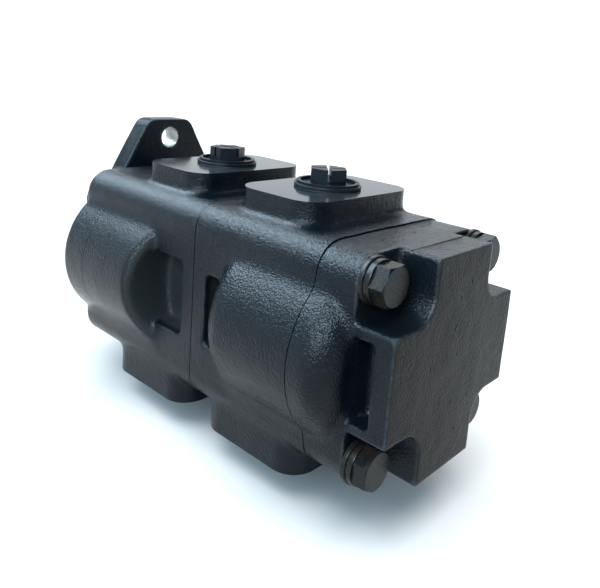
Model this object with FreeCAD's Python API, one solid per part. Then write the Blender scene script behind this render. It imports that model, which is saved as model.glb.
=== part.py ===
import FreeCAD, Part
import math
import os

# Tandem external gear pump on a two-bolt ear flange.
# Frame: X runs along the drive shaft from the mounting face to the rear cover,
# Z is up, and the origin is the centre of the mounting face on the drive axis.
# All lengths are in millimetres.

os.makedirs("parts", exist_ok=True)

# --- driving dimensions -----------------------------------------------------

# gears
gear_centres = 45.0
teeth = 12
module = 3.75
pressure_angle = math.radians(25.0)
gear_backlash = 0.16
tip_clearance = 0.1
front_gear_width = 28.0
rear_gear_width = 22.0

# outer sections of the pump
middle_y = -0.5 * gear_centres
side_half = 52.8
top_half = 56.1
corner_r = 15.0
bulge_r = 46.6
front_round = 5.0

# stations along the shaft
pilot_front_x = -9.7
ear_back_x = 15.3
body_front_x = 30.5
flange_joint_x = 57.0
middle_joint_x = 147.2
cover_joint_x = 235.4
end_x = 281.1

# mounting flange, SAE B two-bolt
pilot_r = 50.8
bolt_span = 146.05
ear_hole_r = 7.15
ear_top_z = 86.5
ear_top_half = 17.8
flange_disc_r = 58.0
ear_corner_r = 9.0

# port pads and ports
pad_top_z = 68.3
pad_corner_r = 14.5
outlet_pad = (56.6, 86.4)
inlet_pad = (73.0, 100.4)
outlet_y = -18.7
front_outlet_x = 103.9
rear_outlet_x = 189.4
front_inlet_x = 100.5
rear_inlet_x = 192.1
outlet_thread_r = 15.6
inlet_thread_r = 19.5
outlet_channel_r = 11.0
inlet_channel_r = 12.0
thread_depth = 26.0
channel_z = 26.0

# hollow rear ends of the front bulges
hollow_r = 51.0
hollow_x = 156.4
hollow_end_x = 137.0
hollow_edge_r = 5.0

# cored side windows: stations at the surface, stations at the floor, heights,
# depth on the near side, depth on the far side, corner radius
front_window = ((98.0, 137.0), (98.0, 134.5), (-22.5, 21.5), 14.0, 9.0, 5.0)
rear_window = ((157.0, 169.0), (157.5, 167.0), (-21.0, 19.5), 15.0, 10.0, 3.0)
cover_window = ((257.0, 270.5), (261.5, 269.5), (-20.5, 19.5), 13.0, 13.0, 2.0)

# start of the rear bulges, and the rounding of the bulges' free ends
rear_bulge_x = 172.5
rear_bulge_round = 14.0
cover_bulge_end_x = 258.0
cover_bulge_round = 15.5

# internal stacks
journal_r = 11.0
bush_r = 13.0
bush_clearance = 0.03
bush_length = 22.0
thrust_plate = 4.0
block_length = 14.0
end_play = 0.05
chamber_r = 16.0
shaft_hole_r = 12.0

# shaft, splines and coupling
spline_teeth = 13
shaft_tip_x = -41.0
spline_end_x = -13.0
spline_tip_r = 10.9
spline_root_r = 9.5
inner_spline_tip_r = 9.9
inner_spline_root_r = 8.7
neck_r = 9.6
coupling_gap = 0.05
front_stub_x = 141.0
rear_stub_x = 149.0
coupling_x = (119.0, 171.0)
coupling_r = 14.0

# seals and dowels
seal_bore_r = 17.5
seal_bore_end = 14.0
seal_recess_r = 22.0
seal_recess_end = -2.0
seal_band_r = 31.0
seal_band = 2.6
seal_depth = 2.0
middle_seal_r = 21.0
block_seal_r = 22.8
block_seal_band = 1.6
block_seal_depth = 1.6
dowel_r = 4.0
dowel_half = 8.0

# through bolts, M12
bolt_r = 6.0
bolt_hole_r = 6.5
bolt_y = 42.5
bolt_z = 43.6
bolt_tip_x = 39.5
bolt_seat_x = 259.0
bolt_flats = 18.0
bolt_head = 7.5
flat_washer_r = 11.2
flat_washer = 2.5
spring_washer_r = 10.4
spring_washer = 3.0

# port plugs
plug_head_flats = 19.0
plug_head_z = 78.8
plug_ring = 0.5
plug_flange = 1.5
plug_collar = 3.0
plug_slot = 1.7
plug_slot_z = 72.9
plug_gap = 0.1
front_plug_turn = -0.06
rear_plug_turn = -0.79

# rear cover pockets
block_half_y = 24.4
ledge_z = 25.4
pocket_corner_r = 13.0

# values that follow from the driving dimensions
drive_y = 0.0
driven_y = -gear_centres
near_y = middle_y - side_half
far_y = middle_y + side_half
pitch_r = 0.5 * module * teeth
tip_r = pitch_r + module
root_r = pitch_r - 1.2 * module
base_r = pitch_r * math.cos(pressure_angle)
cavity_r = tip_r + tip_clearance
front_gear_x = flange_joint_x + thrust_plate
front_cavity_end = front_gear_x + front_gear_width + block_length + 2.0 * end_play
rear_gear_end = cover_joint_x - thrust_plate
rear_gear_x = rear_gear_end - rear_gear_width
rear_cavity_start = rear_gear_x - block_length - 2.0 * end_play
head_x = bolt_seat_x + flat_washer + spring_washer
bush_bore_x = flange_joint_x - bush_length
x_axis = FreeCAD.Vector(1, 0, 0)
z_axis = FreeCAD.Vector(0, 0, 1)


# --- geometry helpers -------------------------------------------------------

def vec(x, y, z):
    return FreeCAD.Vector(x, y, z)


def round_bar(x0, x1, y, z, r):
    """Cylinder along X between two stations."""
    return Part.makeCylinder(r, x1 - x0, vec(x0, y, z), x_axis)


def round_post(z0, z1, x, y, r):
    """Cylinder along Z between two heights."""
    return Part.makeCylinder(r, z1 - z0, vec(x, y, z0), z_axis)


def block(x0, x1, y0, y1, z0, z1):
    return Part.makeBox(x1 - x0, y1 - y0, z1 - z0, vec(x0, y0, z0))


def edges_along(shape, direction):
    """Straight edges of a shape that run along a direction."""
    found = []
    for edge in shape.Edges:
        if len(edge.Vertexes) == 2 and edge.Curve.TypeId == "Part::GeomLine":
            run = edge.Vertexes[1].Point - edge.Vertexes[0].Point
            if run.cross(direction).Length < 1e-6 * run.Length:
                found.append(edge)
    return found


def edges_at_x(shape, x):
    """Edges of a shape that lie in the plane at one station."""
    return [e for e in shape.Edges if all(abs(v.X - x) < 1e-4 for v in e.Vertexes)
            and abs(e.CenterOfMass.x - x) < 1e-4]


def rounded_block(x0, x1, y0, y1, z0, z1, r, direction):
    box = block(x0, x1, y0, y1, z0, z1)
    return box.makeFillet(r, edges_along(box, direction))


def fused(shapes):
    whole = shapes[0]
    if len(shapes) > 1:
        whole = shapes[0].fuse(shapes[1:])
    return whole.removeSplitter()


def face_of(curves):
    edges = [c.toShape() for c in curves]
    return Part.Face(Part.Wire(edges))


def stadium(x0, x1, r):
    """Slot outline round both gear axes, extruded along X."""
    wire = [
        Part.LineSegment(vec(x0, driven_y, r), vec(x0, drive_y, r)),
        Part.Arc(vec(x0, drive_y, r), vec(x0, drive_y + r, 0), vec(x0, drive_y, -r)),
        Part.LineSegment(vec(x0, drive_y, -r), vec(x0, driven_y, -r)),
        Part.Arc(vec(x0, driven_y, -r), vec(x0, driven_y - r, 0), vec(x0, driven_y, r)),
    ]
    return face_of(wire).extrude(vec(x1 - x0, 0, 0))


def two_lobes(x0, x1, r):
    """Figure-of-eight prism round both gear axes."""
    return round_bar(x0, x1, drive_y, 0, r).fuse(round_bar(x0, x1, driven_y, 0, r))


def mirrored(shape):
    """The same shape on the far side of the pump's middle plane."""
    return shape.mirror(vec(0, middle_y, 0), vec(0, 1, 0))


def write(name, solids):
    """One STEP file per node; a group of equal pieces is a compound of solids."""
    shapes = solids if isinstance(solids, list) else [solids]
    flat = [s for shape in shapes for s in shape.Solids]
    result = flat[0] if len(flat) == 1 else Part.makeCompound(flat)
    result.exportStep("parts/" + name + ".step")


# --- castings ---------------------------------------------------------------

def section_body(x0, x1):
    return rounded_block(x0, x1, near_y, far_y, -top_half, top_half, corner_r, x_axis)


def gear_bulge(x0, x1, y, front_round, rear_round):
    """Side bulge over one gear bore, with its free edges rounded."""
    bar = round_bar(x0, x1, y, 0, bulge_r)
    if front_round > 0:
        bar = bar.makeFillet(front_round, edges_at_x(bar, x0))
    if rear_round > 0:
        bar = bar.makeFillet(rear_round, edges_at_x(bar, x1))
    return bar


def gear_bulges(x0, x1, front_round, rear_round):
    return [gear_bulge(x0, x1, y, front_round, rear_round) for y in (drive_y, driven_y)]


def pad(x, y, size, z0, z1):
    """Port pad: length along X and Y, with rounded corners."""
    return rounded_block(x - 0.5 * size[0], x + 0.5 * size[0], y - 0.5 * size[1], y + 0.5 * size[1],
                         z0, z1, pad_corner_r, z_axis)


def port_pads(outlet_x, inlet_x):
    inner_z = top_half - 12.0
    outlet = pad(outlet_x, outlet_y, outlet_pad, inner_z, pad_top_z)
    inlet = pad(inlet_x, middle_y, inlet_pad, -pad_top_z, -inner_z)
    return [outlet, inlet]


def port_passages(outlet_x, inlet_x, gear_mid_x):
    """Threaded mouth, throat and cross channel of the outlet (top) and the inlet (bottom)."""
    throat_z = pad_top_z - thread_depth
    outlet_run = (min(outlet_x, gear_mid_x), max(outlet_x, gear_mid_x))
    inlet_run = (min(inlet_x, gear_mid_x), max(inlet_x, gear_mid_x))
    return [
        round_post(throat_z, pad_top_z, outlet_x, outlet_y, outlet_thread_r),
        round_post(channel_z, throat_z, outlet_x, outlet_y, outlet_channel_r),
        round_bar(outlet_run[0], outlet_run[1], middle_y, channel_z, outlet_channel_r),
        round_post(-pad_top_z, -throat_z, inlet_x, middle_y, inlet_thread_r),
        round_post(-throat_z, -channel_z, inlet_x, middle_y, inlet_channel_r),
        round_bar(inlet_run[0], inlet_run[1], middle_y, -channel_z, inlet_channel_r),
    ]


def hollow_cut():
    """Round cut across the pump behind the front bulges."""
    reach = 2.0 * bulge_r + gear_centres
    return Part.makeCylinder(hollow_r, 2.0 * reach, vec(hollow_x, middle_y - reach, 0), vec(0, 1, 0))


def hollow_ended_bulges(x0, x1):
    """Front bulges, whose rear ends are walls hollowed by the round cut, with a rounded edge."""
    bulges = []
    for y in (drive_y, driven_y):
        bar = round_bar(x0, x1, y, 0, bulge_r).cut(hollow_cut())
        rim = [e for e in bar.Edges if e.Curve.TypeId == "Part::GeomBSplineCurve"]
        bulges.append(bar.makeFillet(hollow_edge_r, rim))
    return bulges


def side_window(x_outer, x_inner, heights, depth, r):
    """Cored recess in the near side: wide at the surface, narrower at its floor."""
    y0 = near_y - 1.0
    y1 = near_y + depth
    z0, z1 = heights
    corners = [
        vec(x_outer[0], y0, z0),
        vec(x_outer[1], y0, z0),
        vec(x_inner[1], y1, z0),
        vec(x_inner[0], y1, z0),
    ]
    outline = Part.Face(Part.makePolygon(corners + corners[:1]))
    cutter = outline.extrude(vec(0, 0, z1 - z0))
    rising = []
    for edge in cutter.Edges:
        run = edge.Vertexes[1].Point - edge.Vertexes[0].Point
        if abs(run.y) > 1.0:
            rising.append(edge)
    return cutter.makeFillet(r, rising)


def window_pair(x_outer, x_inner, heights, near_depth, far_depth, r):
    """The same recess in both sides; the far one is shallower where the shaft coupling is close."""
    near = side_window(x_outer, x_inner, heights, near_depth, r)
    far = side_window(x_outer, x_inner, heights, far_depth, r)
    return [near, mirrored(far)]


def bolt_axes():
    return [(middle_y + sy * bolt_y, sz * bolt_z) for sy in (-1, 1) for sz in (-1, 1)]


def bolt_holes(x0, x1, r):
    return [round_bar(x0, x1, y, z, r) for y, z in bolt_axes()]


def dowel_axes():
    return [(middle_y + 30.0, 38.0), (middle_y - 30.0, -38.0)]


def dowels(x):
    return [round_bar(x - dowel_half, x + dowel_half, y, z, dowel_r) for y, z in dowel_axes()]


def cut_all(body, cutters):
    return body.cut(cutters).removeSplitter()


def flange_plate():
    """Central disc with two trapezoid ears tangent to it."""
    reach = math.hypot(ear_top_half, ear_top_z)
    tangent = math.atan2(ear_top_z, ear_top_half) - math.acos(flange_disc_r / reach)
    ty = flange_disc_r * math.cos(tangent)
    tz = flange_disc_r * math.sin(tangent)
    outline = [
        Part.LineSegment(vec(0, ty, tz), vec(0, ear_top_half, ear_top_z)),
        Part.LineSegment(vec(0, ear_top_half, ear_top_z), vec(0, -ear_top_half, ear_top_z)),
        Part.LineSegment(vec(0, -ear_top_half, ear_top_z), vec(0, -ty, tz)),
        Part.Arc(vec(0, -ty, tz), vec(0, -flange_disc_r, 0), vec(0, -ty, -tz)),
        Part.LineSegment(vec(0, -ty, -tz), vec(0, -ear_top_half, -ear_top_z)),
        Part.LineSegment(vec(0, -ear_top_half, -ear_top_z), vec(0, ear_top_half, -ear_top_z)),
        Part.LineSegment(vec(0, ear_top_half, -ear_top_z), vec(0, ty, -tz)),
        Part.Arc(vec(0, ty, -tz), vec(0, flange_disc_r, 0), vec(0, ty, tz)),
    ]
    plate = face_of(outline).extrude(vec(ear_back_x, 0, 0))
    corners = [e for e in edges_along(plate, x_axis) if abs(e.CenterOfMass.z) > ear_top_z - 0.1]
    return plate.makeFillet(ear_corner_r, corners)


def make_mounting_flange():
    pilot = round_bar(pilot_front_x, 0, 0, 0, pilot_r)
    pilot = pilot.makeChamfer(1.5, edges_at_x(pilot, pilot_front_x))
    neck = rounded_block(ear_back_x - 1.0, body_front_x + 6.0, near_y + 9.0, far_y - 9.0,
                         -top_half + 9.0, top_half - 9.0, corner_r, x_axis)
    body = section_body(body_front_x, flange_joint_x)
    body = body.makeFillet(front_round, edges_at_x(body, body_front_x))
    bulges = gear_bulges(body_front_x, flange_joint_x, front_round, 0)
    shell = fused([flange_plate(), pilot, neck, body] + bulges)
    cutters = [
        round_bar(pilot_front_x, seal_recess_end, drive_y, 0, seal_recess_r),
        round_bar(pilot_front_x, seal_bore_end, drive_y, 0, seal_bore_r),
        round_bar(pilot_front_x, bush_bore_x, drive_y, 0, shaft_hole_r),
        round_bar(bush_bore_x, flange_joint_x, drive_y, 0, bush_r),
        round_bar(bush_bore_x - 1.0, flange_joint_x, driven_y, 0, shaft_hole_r),
        round_bar(bush_bore_x, flange_joint_x, driven_y, 0, bush_r),
    ]
    cutters += [round_bar(0, ear_back_x, 0, s * 0.5 * bolt_span, ear_hole_r) for s in (-1, 1)]
    cutters += bolt_holes(bolt_tip_x - 2.0, flange_joint_x, bolt_r)
    cutters += dowels(flange_joint_x)
    return cut_all(shell, cutters)


def section_seal(x0):
    x1 = x0 + seal_depth
    return stadium(x0, x1, seal_band_r + seal_band).cut(stadium(x0, x1, seal_band_r))


def middle_seal():
    x0 = middle_joint_x
    x1 = middle_joint_x + seal_depth
    outer = round_bar(x0, x1, drive_y, 0, middle_seal_r + seal_band)
    return outer.cut(round_bar(x0, x1, drive_y, 0, middle_seal_r))


def make_front_housing():
    x0 = flange_joint_x
    x1 = middle_joint_x
    parts = [section_body(x0, x1)] + hollow_ended_bulges(x0, hollow_end_x)
    parts += port_pads(front_outlet_x, front_inlet_x)
    cutters = [
        two_lobes(x0, front_cavity_end, cavity_r),
        round_bar(front_cavity_end, x1, drive_y, 0, shaft_hole_r),
        round_bar(front_cavity_end + 10.0, x1, drive_y, 0, chamber_r),
        section_seal(x0),
    ]
    cutters += [window.common(hollow_cut()) for window in window_pair(*front_window)]
    cutters += port_passages(front_outlet_x, front_inlet_x, front_gear_x + 6.0)
    cutters += bolt_holes(x0, x1, bolt_hole_r)
    cutters += dowels(x0) + dowels(x1)
    return cut_all(fused(parts), cutters)


def make_rear_housing():
    x0 = middle_joint_x
    x1 = cover_joint_x
    parts = [section_body(x0, x1)] + gear_bulges(rear_bulge_x, x1, rear_bulge_round, 0)
    parts += port_pads(rear_outlet_x, rear_inlet_x)
    cutters = [
        round_bar(x0, rear_cavity_start - 13.0, drive_y, 0, chamber_r),
        round_bar(x0, rear_cavity_start, drive_y, 0, shaft_hole_r),
        two_lobes(rear_cavity_start, x1, cavity_r),
        middle_seal(),
    ]
    cutters += window_pair(*rear_window)
    cutters += port_passages(rear_outlet_x, rear_inlet_x, rear_gear_end - 5.0)
    cutters += bolt_holes(x0, x1, bolt_hole_r)
    cutters += dowels(x0) + dowels(x1)
    return cut_all(fused(parts), cutters)


def corner_pocket(sy, sz):
    """Open pocket round one bolt head, with a large radius in its inner corner."""
    inner_y = middle_y + sy * block_half_y
    outer_y = middle_y + sy * (side_half + 20.0)
    inner_z = sz * ledge_z
    outer_z = sz * (top_half + 20.0)
    box = block(bolt_seat_x, end_x + 20.0, min(inner_y, outer_y), max(inner_y, outer_y),
                min(inner_z, outer_z), max(inner_z, outer_z))
    edge = [e for e in edges_along(box, x_axis)
            if abs(e.CenterOfMass.y - inner_y) < 0.1 and abs(e.CenterOfMass.z - inner_z) < 0.1]
    return box.makeFillet(pocket_corner_r, edge)


def make_rear_cover():
    x0 = cover_joint_x
    body = section_body(x0, end_x)
    shell = fused([body] + gear_bulges(x0, cover_bulge_end_x, 0, cover_bulge_round))
    cutters = [corner_pocket(sy, sz) for sy in (-1, 1) for sz in (-1, 1)]
    cutters += [
        round_bar(x0, x0 + bush_length, drive_y, 0, bush_r),
        round_bar(x0, x0 + bush_length, driven_y, 0, bush_r),
        round_bar(x0, x0 + bush_length + 1.0, drive_y, 0, shaft_hole_r),
        round_bar(x0, x0 + bush_length + 1.0, driven_y, 0, shaft_hole_r),
        section_seal(x0),
    ]
    cutters += window_pair(*cover_window)
    cutters += bolt_holes(x0, bolt_seat_x, bolt_hole_r)
    cutters += dowels(x0)
    return cut_all(shell, cutters)


# --- gears and shafts -------------------------------------------------------

def polar(x, y, r, angle):
    return vec(x, y + r * math.cos(angle), r * math.sin(angle))


def flank_angle(r):
    """Half angle of a tooth at a radius, by the involute of the base circle."""
    at_r = math.acos(min(1.0, base_r / r))
    half_pitch = math.pi / (2.0 * teeth) - 0.5 * gear_backlash / pitch_r
    return half_pitch + math.tan(pressure_angle) - pressure_angle - (math.tan(at_r) - at_r)


def gear_face(x, y, start):
    """Full tooth outline: involute flanks, tip arcs, and root arcs."""
    steps = 7
    radii = [base_r + (tip_r - base_r) * (i / (steps - 1.0)) ** 1.5 for i in range(steps)]
    curves = []
    for k in range(teeth):
        mid = start + 2.0 * math.pi * k / teeth
        following = mid + 2.0 * math.pi / teeth
        rising = [polar(x, y, r, mid - flank_angle(r)) for r in radii]
        falling = [polar(x, y, r, mid + flank_angle(r)) for r in reversed(radii)]
        root_in = polar(x, y, root_r, mid - flank_angle(base_r))
        root_out = polar(x, y, root_r, mid + flank_angle(base_r))
        root_next = polar(x, y, root_r, following - flank_angle(base_r))
        root_mid = polar(x, y, root_r, 0.5 * (mid + following))
        up = Part.BSplineCurve()
        up.interpolate(rising)
        down = Part.BSplineCurve()
        down.interpolate(falling)
        curves.append(Part.LineSegment(root_in, rising[0]))
        curves.append(up)
        curves.append(Part.Arc(rising[-1], polar(x, y, tip_r, mid), falling[0]))
        curves.append(down)
        curves.append(Part.LineSegment(falling[-1], root_out))
        curves.append(Part.Arc(root_out, root_mid, root_next))
    return face_of(curves)


def gear(x0, x1, y, start):
    return gear_face(x0, y, start).extrude(vec(x1 - x0, 0, 0))


def spline_bar(x0, x1, root, tip, count):
    """Straight-sided spline along X on the drive axis."""
    core = round_bar(x0, x1, drive_y, 0, root)
    half = 0.5 * math.pi / count
    keys = []
    for k in range(count):
        a = 2.0 * math.pi * k / count
        inner = root - 1.0
        pts = [
            polar(x0, drive_y, inner, a - half * 0.95),
            polar(x0, drive_y, tip, a - half * 0.62),
            polar(x0, drive_y, tip, a + half * 0.62),
            polar(x0, drive_y, inner, a + half * 0.95),
        ]
        keys.append(Part.Face(Part.makePolygon(pts + pts[:1])).extrude(vec(x1 - x0, 0, 0)))
    return fused([core] + keys)


def make_drive_gear_shaft():
    gear_end = front_gear_x + end_play + front_gear_width
    nose = spline_bar(shaft_tip_x, spline_end_x, spline_root_r, spline_tip_r, spline_teeth)
    cone = Part.makeCone(spline_root_r - 1.0, spline_root_r + 4.0, 5.0, vec(shaft_tip_x, 0, 0), x_axis)
    tube = round_bar(shaft_tip_x, shaft_tip_x + 5.0, 0, 0, spline_root_r + 8.0).cut(cone)
    nose = nose.cut(tube)
    solids = [
        nose,
        round_bar(spline_end_x, front_gear_x + 1.0, drive_y, 0, journal_r),
        gear(front_gear_x + end_play, gear_end, drive_y, math.pi / teeth),
        round_bar(gear_end - 1.0, front_cavity_end, drive_y, 0, journal_r),
        round_bar(front_cavity_end, coupling_x[0] - 3.0, drive_y, 0, neck_r),
        spline_bar(coupling_x[0] - 3.0, front_stub_x, inner_spline_root_r, inner_spline_tip_r, spline_teeth),
    ]
    return fused(solids)


def make_rear_drive_gear():
    gear_start = rear_gear_x - end_play
    gear_end = gear_start + rear_gear_width
    solids = [
        spline_bar(rear_stub_x, coupling_x[1] + 3.0, inner_spline_root_r, inner_spline_tip_r, spline_teeth),
        round_bar(coupling_x[1] + 3.0, rear_cavity_start, drive_y, 0, neck_r),
        round_bar(rear_cavity_start, gear_start + 1.0, drive_y, 0, journal_r),
        gear(gear_start, gear_end, drive_y, math.pi / teeth),
        round_bar(gear_end - 1.0, cover_joint_x + bush_length - 1.0, drive_y, 0, journal_r),
    ]
    return fused(solids)


def make_driven_gear(x0, gear_x0, gear_x1, x1):
    solids = [
        round_bar(x0, gear_x0 + 1.0, driven_y, 0, journal_r),
        gear(gear_x0, gear_x1, driven_y, 0.0),
        round_bar(gear_x1 - 1.0, x1, driven_y, 0, journal_r),
    ]
    return fused(solids)


def make_coupling():
    sleeve = round_bar(coupling_x[0], coupling_x[1], drive_y, 0, coupling_r)
    bore = spline_bar(coupling_x[0], coupling_x[1], inner_spline_root_r + coupling_gap,
                      inner_spline_tip_r + coupling_gap, spline_teeth)
    return sleeve.cut(bore)


# --- bearings, plates and seals ---------------------------------------------

def bush(x0, x1, y):
    return round_bar(x0, x1, y, 0, bush_r).cut(round_bar(x0, x1, y, 0, journal_r + bush_clearance))


def bush_pair(x0, x1):
    return [bush(x0, x1, y) for y in (drive_y, driven_y)]


def make_thrust_plate(x0):
    x1 = x0 + thrust_plate
    plate = two_lobes(x0, x1, cavity_r - 0.05).removeSplitter()
    holes = [round_bar(x0, x1, y, 0, journal_r + 0.3) for y in (drive_y, driven_y)]
    return plate.cut(holes)


def block_seal(x0):
    x1 = x0 + block_seal_depth
    outer = two_lobes(x0, x1, block_seal_r + block_seal_band).removeSplitter()
    return outer.cut(two_lobes(x0, x1, block_seal_r))


def make_bearing_block(x0, seal_x):
    x1 = x0 + block_length
    body = two_lobes(x0, x1, cavity_r - 0.05).removeSplitter()
    cutters = [round_bar(x0, x1, y, 0, bush_r) for y in (drive_y, driven_y)]
    cutters.append(block_seal(seal_x))
    return body.cut(cutters)


def make_shaft_seal(x0, x1):
    """Lip seal: metal-backed ring with an inner lip that bears on the shaft."""
    case = round_bar(x0, x1, 0, 0, seal_bore_r).cut(round_bar(x0, x1, 0, 0, seal_bore_r - 2.5))
    web = round_bar(x0, x0 + 1.8, 0, 0, seal_bore_r - 2.0).cut(round_bar(x0, x0 + 1.8, 0, 0, journal_r + 1.0))
    lip_outer = Part.makeCone(journal_r + 2.4, journal_r + 1.6, x1 - x0 - 1.5, vec(x0, 0, 0), x_axis)
    lip_inner = Part.makeCone(journal_r + 1.0, journal_r + 0.05, x1 - x0 - 1.5, vec(x0, 0, 0), x_axis)
    return fused([case, web, lip_outer.cut(lip_inner)])


def make_retaining_ring():
    """Internal circlip: open ring with an eye at each end."""
    x0 = -1.6
    x1 = 0.0
    outer = seal_bore_r
    ring = round_bar(x0, x1, 0, 0, outer).cut(round_bar(x0, x1, 0, 0, outer - 2.2))
    eyes = []
    holes = []
    for side in (-1, 1):
        a = math.radians(90.0 + side * 16.0)
        eye_y = (outer - 2.6) * math.cos(a)
        eye_z = (outer - 2.6) * math.sin(a)
        eyes.append(round_bar(x0, x1, eye_y, eye_z, 2.3))
        holes.append(round_bar(x0, x1, eye_y, eye_z, 0.9))
    gap = block(x0, x1, -2.6, 2.6, 5.0, outer + 2.0)
    return fused([ring] + eyes).common(round_bar(x0, x1, 0, 0, outer)).cut([gap] + holes)


# --- fasteners and plugs ----------------------------------------------------

def hex_prism(base, flats, height, axis, turn):
    """Hexagonal prism from a base point along X or Z."""
    corner = flats / math.sqrt(3.0)
    pts = []
    for k in range(6):
        a = turn + math.pi * k / 3.0
        if axis == "x":
            pts.append(base + vec(0, corner * math.cos(a), corner * math.sin(a)))
        else:
            pts.append(base + vec(corner * math.cos(a), corner * math.sin(a), 0))
    rise = vec(height, 0, 0) if axis == "x" else vec(0, 0, height)
    return Part.Face(Part.makePolygon(pts + pts[:1])).extrude(rise)


def make_bolt(y, z, turn):
    """Hexagon-head screw with a chamfered head and a plain shank."""
    x1 = head_x + bolt_head
    head = hex_prism(vec(head_x, y, z), bolt_flats, bolt_head, "x", turn)
    slope = Part.makeCone(0.5 * bolt_flats + 4.0 * math.sqrt(3.0), 0.5 * bolt_flats, 4.0,
                          vec(x1 - 4.0, y, z), x_axis)
    plain = round_bar(head_x, x1 - 4.0, y, z, bolt_flats)
    head = head.common(slope.fuse(plain))
    shank = round_bar(bolt_tip_x, head_x + 0.5, y, z, bolt_r)
    tip = edges_at_x(shank, bolt_tip_x)
    return fused([head, shank.makeChamfer(1.0, tip)])


def make_through_bolts():
    turns = [math.radians(30.0), math.radians(0.0), math.radians(12.0), math.radians(8.0)]
    return [make_bolt(y, z, t) for (y, z), t in zip(bolt_axes(), turns)]


def make_flat_washers():
    x0 = bolt_seat_x
    x1 = bolt_seat_x + flat_washer
    rings = []
    for y, z in bolt_axes():
        disc = round_bar(x0, x1, y, z, flat_washer_r)
        disc = disc.makeChamfer(0.4, edges_at_x(disc, x1))
        rings.append(disc.cut(round_bar(x0, x1, y, z, bolt_hole_r)))
    return rings


def make_spring_washers():
    """Split lock washers, pressed flat, with a slanted gap."""
    x0 = bolt_seat_x + flat_washer
    x1 = head_x
    rings = []
    for y, z in bolt_axes():
        ring = round_bar(x0, x1, y, z, spring_washer_r).cut(round_bar(x0, x1, y, z, bolt_r + 0.15))
        gap = block(x0 - 1.0, x1 + 1.0, y - 0.6, y + 0.6, z + 2.0, z + spring_washer_r + 2.0)
        gap.rotate(vec(0.5 * (x0 + x1), y, z), z_axis, 20.0)
        gap.rotate(vec(x0, y, z), x_axis, 60.0)
        rings.append(ring.cut(gap))
    return rings


def plug_washer(x, y, thread_r):
    """Thin sealing ring between a plug's flange and its pad."""
    z0 = pad_top_z
    z1 = pad_top_z + plug_ring
    return round_post(z0, z1, x, y, thread_r + 2.4).cut(round_post(z0, z1, x, y, thread_r))


def make_plug(x, y, thread_r, turn):
    """Moulded port plug: dished flange, slotted hexagon head and a hollow threaded skirt."""
    z0 = pad_top_z + plug_ring
    flange_r = thread_r + 3.0
    flange = round_post(z0, z0 + plug_flange, x, y, flange_r)
    flange = flange.makeFillet(0.4, [flange.Edges[0]])
    collar = round_post(z0, z0 + plug_collar, x, y, flange_r - 1.3)
    dish = round_post(z0 + 1.2, z0 + plug_collar, x, y, flange_r - 3.3)
    head = hex_prism(vec(x, y, z0 + 0.5), plug_head_flats, plug_head_z - z0 - 0.5, "z", turn)
    slots = []
    half = 0.5 * plug_slot
    for quarter in (0.0, 90.0):
        slot = block(x - 20.0, x + 20.0, y - half, y + half, plug_slot_z, plug_head_z + 1.0)
        slot.rotate(vec(x, y, 0), z_axis, math.degrees(turn) + quarter)
        slots.append(slot)
    skirt = round_post(z0 - 13.0, z0 + 0.2, x, y, thread_r - plug_gap)
    hollow = round_post(z0 - 13.0, z0 - 1.8, x, y, thread_r - 3.2)
    grooves = []
    for k in range(5):
        z = z0 - 3.0 - 2.0 * k
        groove = round_post(z, z + 1.0, x, y, thread_r + 1.0)
        grooves.append(groove.cut(round_post(z, z + 1.0, x, y, thread_r - 1.0)))
    rim = fused([flange, collar]).cut(dish)
    return fused([rim, head.cut(slots), skirt.cut([hollow] + grooves)])


def flipped(shape):
    """Copy of a top-side piece turned half a turn about the pump's long axis."""
    turned = shape.copy()
    turned.rotate(vec(0, middle_y, 0), x_axis, 180.0)
    return turned


# --- write the nodes --------------------------------------------------------

front_block_x = front_gear_x + front_gear_width + 2.0 * end_play
front_seal_x = front_block_x + block_length - block_seal_depth
rear_block_x = rear_cavity_start
front_gear_start = front_gear_x + end_play
front_gear_end = front_gear_start + front_gear_width
rear_gear_start = rear_gear_x - end_play
rear_gear_stop = rear_gear_start + rear_gear_width
rear_journal_x = cover_joint_x + bush_length - 1.0

write("mounting_flange", make_mounting_flange())
write("front_gear_housing", make_front_housing())
write("rear_gear_housing", make_rear_housing())
write("rear_end_cover", make_rear_cover())
write("drive_gear_shaft", make_drive_gear_shaft())
write("rear_drive_gear", make_rear_drive_gear())
write("front_driven_gear", make_driven_gear(bush_bore_x + 1.0, front_gear_start, front_gear_end,
                                            front_cavity_end - 0.5))
write("rear_driven_gear", make_driven_gear(rear_cavity_start + 0.5, rear_gear_start, rear_gear_stop,
                                           rear_journal_x))
write("spline_coupling", make_coupling())
write("front_thrust_plate", make_thrust_plate(flange_joint_x))
write("rear_thrust_plate", make_thrust_plate(rear_gear_end))
write("front_bearing_block", make_bearing_block(front_block_x, front_seal_x))
write("rear_bearing_block", make_bearing_block(rear_block_x, rear_block_x))
write("flange_bushes", bush_pair(bush_bore_x, flange_joint_x))
write("front_block_bushes", bush_pair(front_block_x, front_block_x + block_length))
write("rear_block_bushes", bush_pair(rear_block_x, rear_block_x + block_length))
write("cover_bushes", bush_pair(cover_joint_x, cover_joint_x + bush_length))
write("front_block_seal", block_seal(front_seal_x))
write("rear_block_seal", block_seal(rear_block_x))
write("front_section_seal", section_seal(flange_joint_x))
write("middle_section_seal", middle_seal())
write("rear_section_seal", section_seal(cover_joint_x))
write("outer_shaft_seal", make_shaft_seal(0.0, 6.5))
write("inner_shaft_seal", make_shaft_seal(7.0, 13.5))
write("seal_retaining_ring", make_retaining_ring())
write("front_dowels", dowels(flange_joint_x))
write("middle_dowels", dowels(middle_joint_x))
write("rear_dowels", dowels(cover_joint_x))
write("through_bolts", make_through_bolts())
write("flat_washers", make_flat_washers())
write("spring_washers", make_spring_washers())

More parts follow.
